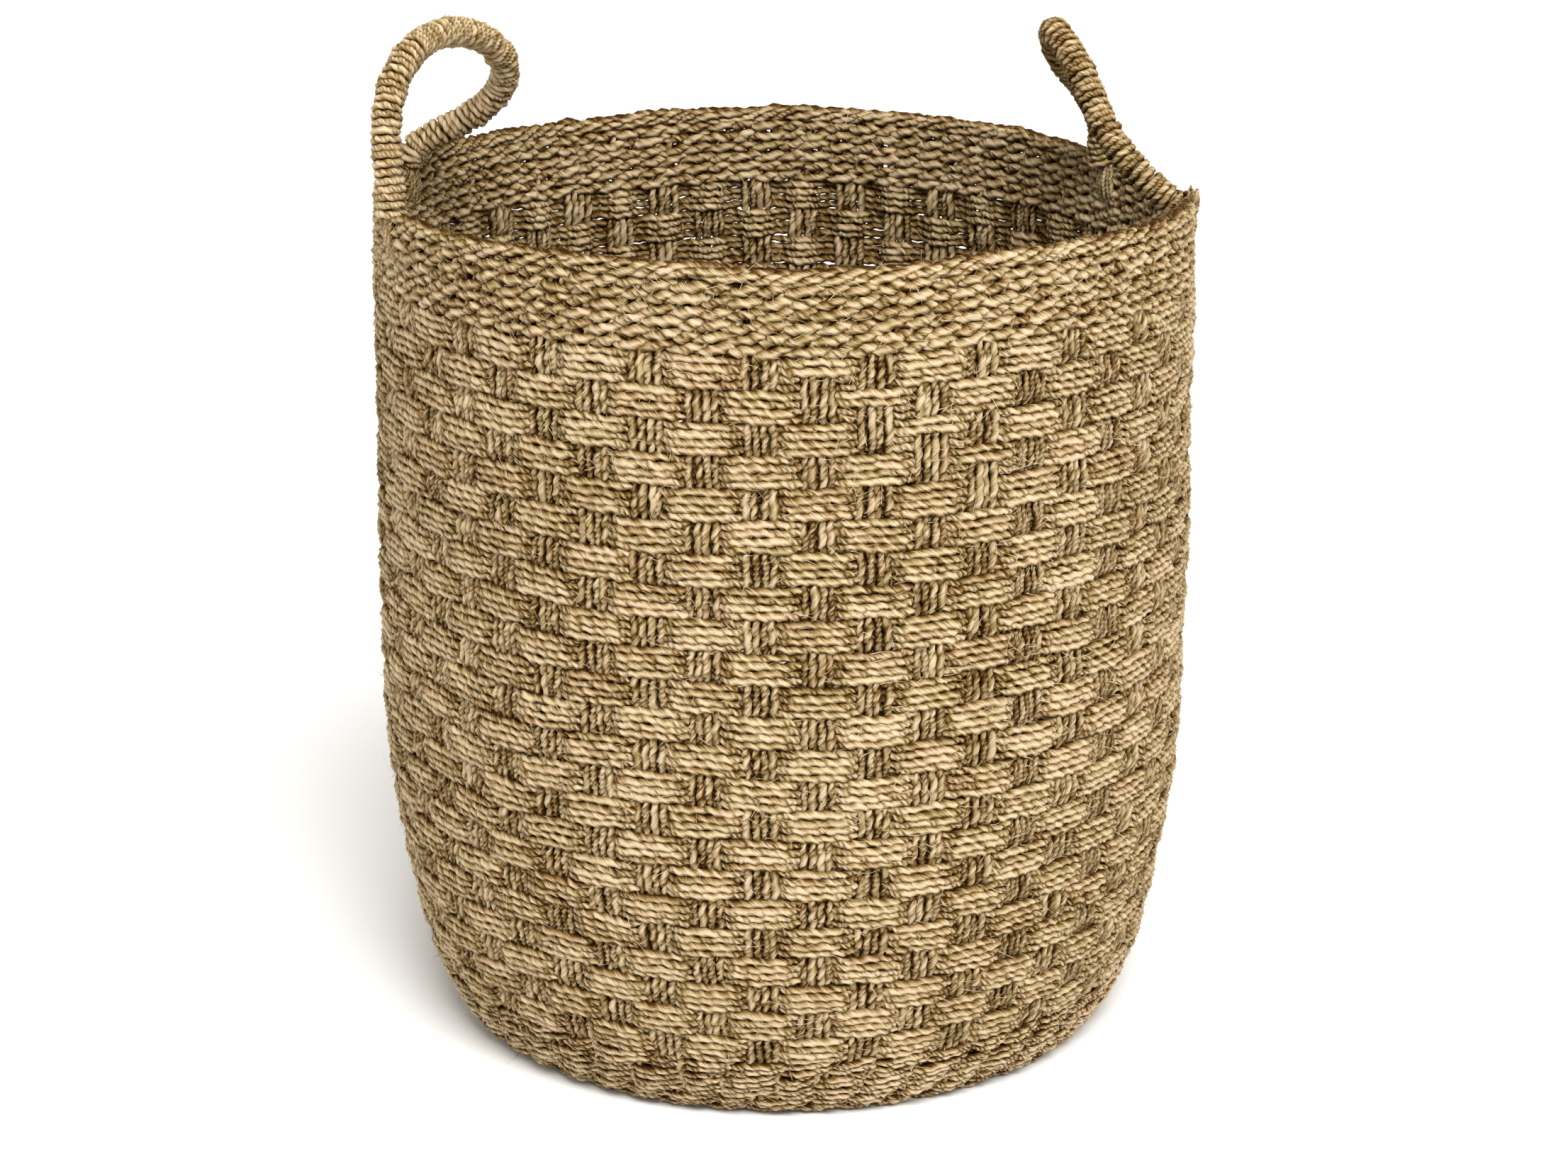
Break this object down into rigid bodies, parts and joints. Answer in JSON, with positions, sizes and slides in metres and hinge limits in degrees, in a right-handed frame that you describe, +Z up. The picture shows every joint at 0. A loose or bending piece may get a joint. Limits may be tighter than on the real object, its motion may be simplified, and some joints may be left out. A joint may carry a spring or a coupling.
{
  "type": "storage basket",
  "caption": "Round open storage basket woven from twisted plant-fibre cord, with a twined rolled rim and wrapped rope handles that bend at the rim.",
  "frame": {"origin": "centre of the base, on the floor the basket stands on", "axes": "+Z up the basket, -Y its front, +X to the right seen from the front"},
  "size_m": [0.453, 0.453, 0.5671],
  "materials": {
    "weft_cord": "matt twisted seagrass cord",
    "stake_cord": "matt twisted seagrass cord",
    "twined_cord": "matt twisted seagrass cord",
    "base_cord": "matt twisted seagrass cord",
    "handle_wrap_cord": "matt twisted seagrass cord",
    "handle_rope": "matt twisted seagrass cord"
  },
  "bodies": {
    "basket": {"base_centre": "base_cord", "base_course_1": "base_cord", "base_course_2": "base_cord", "base_course_3": "base_cord", "base_course_4": "base_cord", "base_course_5": "base_cord", "base_course_6": "base_cord", "foot_course_1": "base_cord", "foot_course_2": "base_cord", "foot_course_3": "base_cord", "foot_course_4": "base_cord", "foot_course_5": "base_cord", "stakes_odd": "stake_cord", "stakes_even": "stake_cord", "weft_band_01": "weft_cord", "weft_band_02": "weft_cord", "weft_band_03": "weft_cord", "weft_band_04": "weft_cord", "weft_band_05": "weft_cord", "weft_band_06": "weft_cord", "weft_band_07": "weft_cord", "weft_band_08": "weft_cord", "weft_band_09": "weft_cord", "weft_band_10": "weft_cord", "weft_band_11": "weft_cord", "weft_band_12": "weft_cord", "weft_band_13": "weft_cord", "weft_band_14": "weft_cord", "weft_band_15": "weft_cord", "weft_band_16": "weft_cord", "weft_band_17": "weft_cord", "weft_band_18": "weft_cord", "weft_band_19": "weft_cord", "weft_band_20": "weft_cord", "weft_band_21": "weft_cord", "weft_band_22": "weft_cord", "weft_band_23": "weft_cord", "twined_course_1": "twined_cord", "twined_course_2": "twined_cord", "twined_course_3": "twined_cord", "twined_course_4": "twined_cord", "twined_course_5": "twined_cord", "twined_course_6": "twined_cord", "rim_border": "twined_cord", "tail_left_front": "handle_rope", "tail_left_back": "handle_rope", "tail_right_front": "handle_rope", "tail_right_back": "handle_rope"},
    "handle_left": {"handle_left_core": "handle_rope", "handle_left_wrap": "handle_wrap_cord"},
    "handle_right": {"handle_right_core": "handle_rope", "handle_right_wrap": "handle_wrap_cord"}
  },
  "joints": [
    {"name": "left_handle_bend", "type": "hinge", "parent": "basket", "child": "handle_left", "pos_m": [-0.2075, -0.0175, 0.486], "axis": [-0.0213, 0.9998, 0], "range_deg": [-60, 20]},
    {"name": "right_handle_bend", "type": "hinge", "parent": "basket", "child": "handle_right", "pos_m": [0.2025, 0.057, 0.486], "axis": [-0.2549, 0.967, 0], "range_deg": [-20, 60]}
  ]
}
